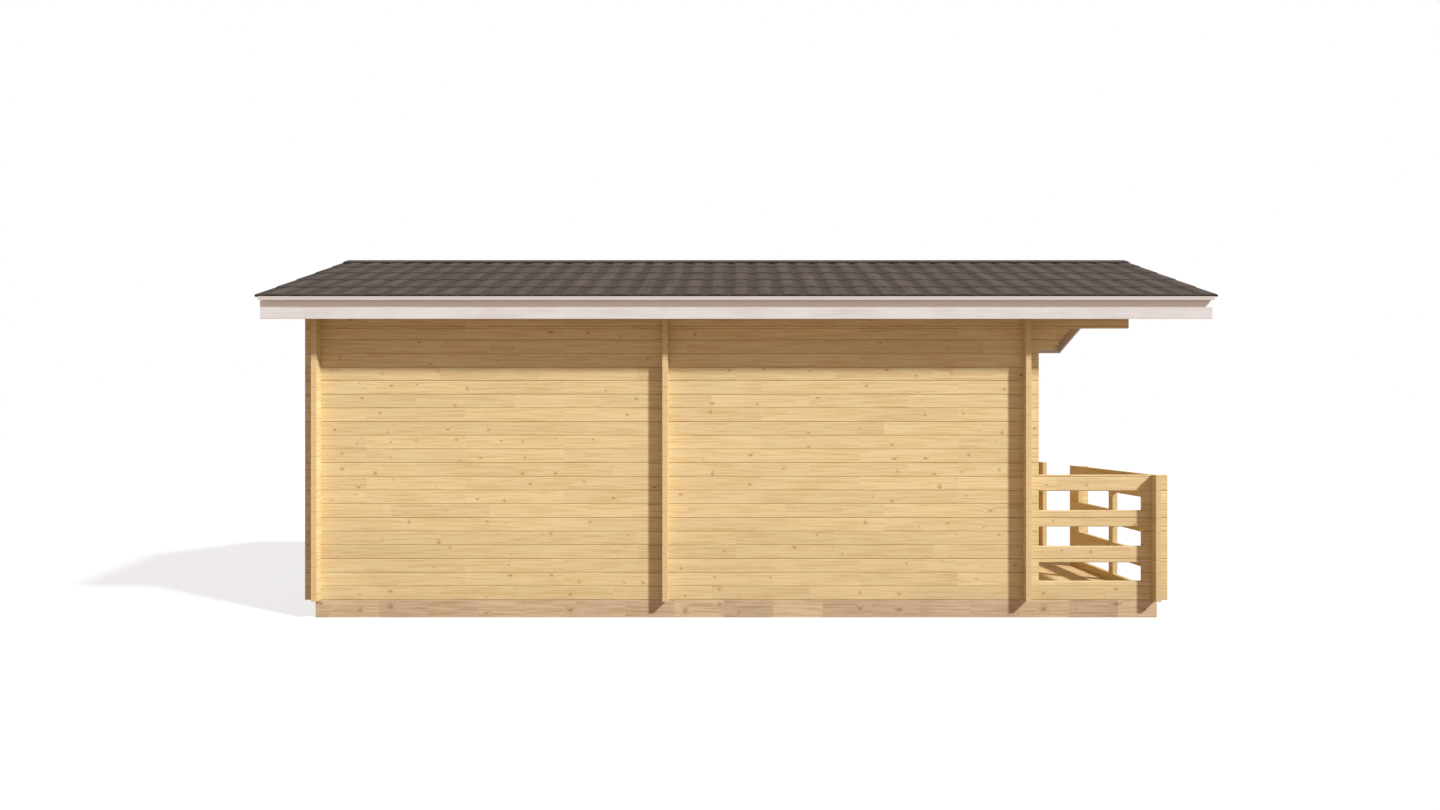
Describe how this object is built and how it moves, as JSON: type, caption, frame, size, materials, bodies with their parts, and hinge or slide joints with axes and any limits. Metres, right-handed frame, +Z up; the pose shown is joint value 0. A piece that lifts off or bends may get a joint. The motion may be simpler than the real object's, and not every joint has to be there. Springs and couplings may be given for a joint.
{
  "type": "prefab cabin",
  "caption": "Long prefab timber cabin of interlocking planks with a partition, a railed porch under the gable roof's overhang, pale fascias and a dark metal tile roof.",
  "frame": {"origin": "middle of the base in plan, at ground level", "axes": "+X along the cabin towards the porch, +Z up, the blank wall seen in the picture faces -Y"},
  "size_m": [7.67, 3.7, 3.233],
  "materials": {
    "pine_planks": "planed, clear matt oil",
    "base_timber": "sawn, treated, greyed",
    "floor_boards": "planed, oiled",
    "deck_boards": "planed, treated",
    "roof_boards": "planed, bare",
    "roof_sheet": "matt coated steel",
    "white_boards": "matt paint, warm white",
    "joinery": "planed, satin stain",
    "window_glass": "clear"
  },
  "bodies": {
    "root": {"base_beams": "base_timber", "base_joists": "base_timber", "door_frame": "joinery", "door_leaf": "joinery", "eave_trims": "white_boards", "entry_corner_post": "pine_planks", "entry_end_block": "pine_planks", "fascias": "white_boards", "front_balustrade_rails": "pine_planks", "front_barge_boards": "white_boards", "front_gable": "pine_planks", "front_room_floor": "floor_boards", "front_spacers": "pine_planks", "front_wall_lower": "pine_planks", "front_wall_piers": "pine_planks", "front_wall_sole": "pine_planks", "front_window_frame": "joinery", "front_window_glass": "window_glass", "left_balustrade_rails": "pine_planks", "left_corbel_planks": "pine_planks", "left_eave_beam": "pine_planks", "left_wall": "pine_planks", "mid_purlins": "pine_planks", "partition_gable": "pine_planks", "partition_sides": "pine_planks", "porch_deck": "deck_boards", "rear_barge_boards": "white_boards", "rear_gable": "pine_planks", "rear_room_floor": "floor_boards", "rear_wall_lower": "pine_planks", "rear_wall_piers": "pine_planks", "rear_window_frame": "joinery", "rear_window_glass": "window_glass", "ridge_cap": "roof_sheet", "ridge_purlin": "pine_planks", "right_balustrade_rails": "pine_planks", "right_corbel_planks": "pine_planks", "right_eave_beam": "pine_planks", "right_wall": "pine_planks", "roof_boards_left": "roof_boards", "roof_boards_right": "roof_boards", "roof_tiles_left": "roof_sheet", "roof_tiles_right": "roof_sheet", "side_spacers": "pine_planks"}
  },
  "joints": []
}
